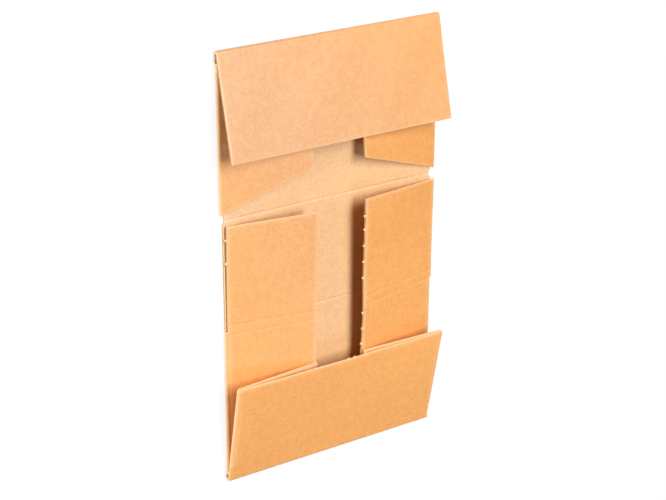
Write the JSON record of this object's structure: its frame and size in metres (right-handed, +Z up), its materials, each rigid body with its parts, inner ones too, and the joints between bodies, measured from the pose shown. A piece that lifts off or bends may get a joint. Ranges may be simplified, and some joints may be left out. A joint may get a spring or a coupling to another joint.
{
  "type": "flattened cardboard box",
  "caption": "Wrap-around corrugated shipping box folded flat as one die-cut sheet, side flaps turned in and an end flap turned back over each end, for storing before use.",
  "frame": {"origin": "centre of the footprint, on the surface that the sheet lies on", "axes": "+Z up out of the sheet's inner face, +Y along the sheet from the bottom flap's fold to the top flap's fold, +X across it to the right as seen from above with +Y away"},
  "size_m": [0.3, 0.543, 0.0368],
  "materials": {
    "kraft_board": "matte brown kraft liner on single-wall corrugated board, paler on the inner face and the cut edges"
  },
  "bodies": {
    "folded_sheet": {"folded_sheet": "kraft_board"},
    "top_flap": {"top_flap": "kraft_board"},
    "bottom_flap": {"bottom_flap": "kraft_board"}
  },
  "joints": [
    {"name": "top_flap_fold", "type": "hinge", "parent": "folded_sheet", "child": "top_flap", "pos_m": [0, 0.26805, 0.0035], "axis": [-1, 0, 0], "range_deg": [0, 165]},
    {"name": "bottom_flap_fold", "type": "hinge", "parent": "folded_sheet", "child": "bottom_flap", "pos_m": [0, -0.26705, 0.0045], "axis": [1, 0, 0], "range_deg": [0, 168]}
  ]
}
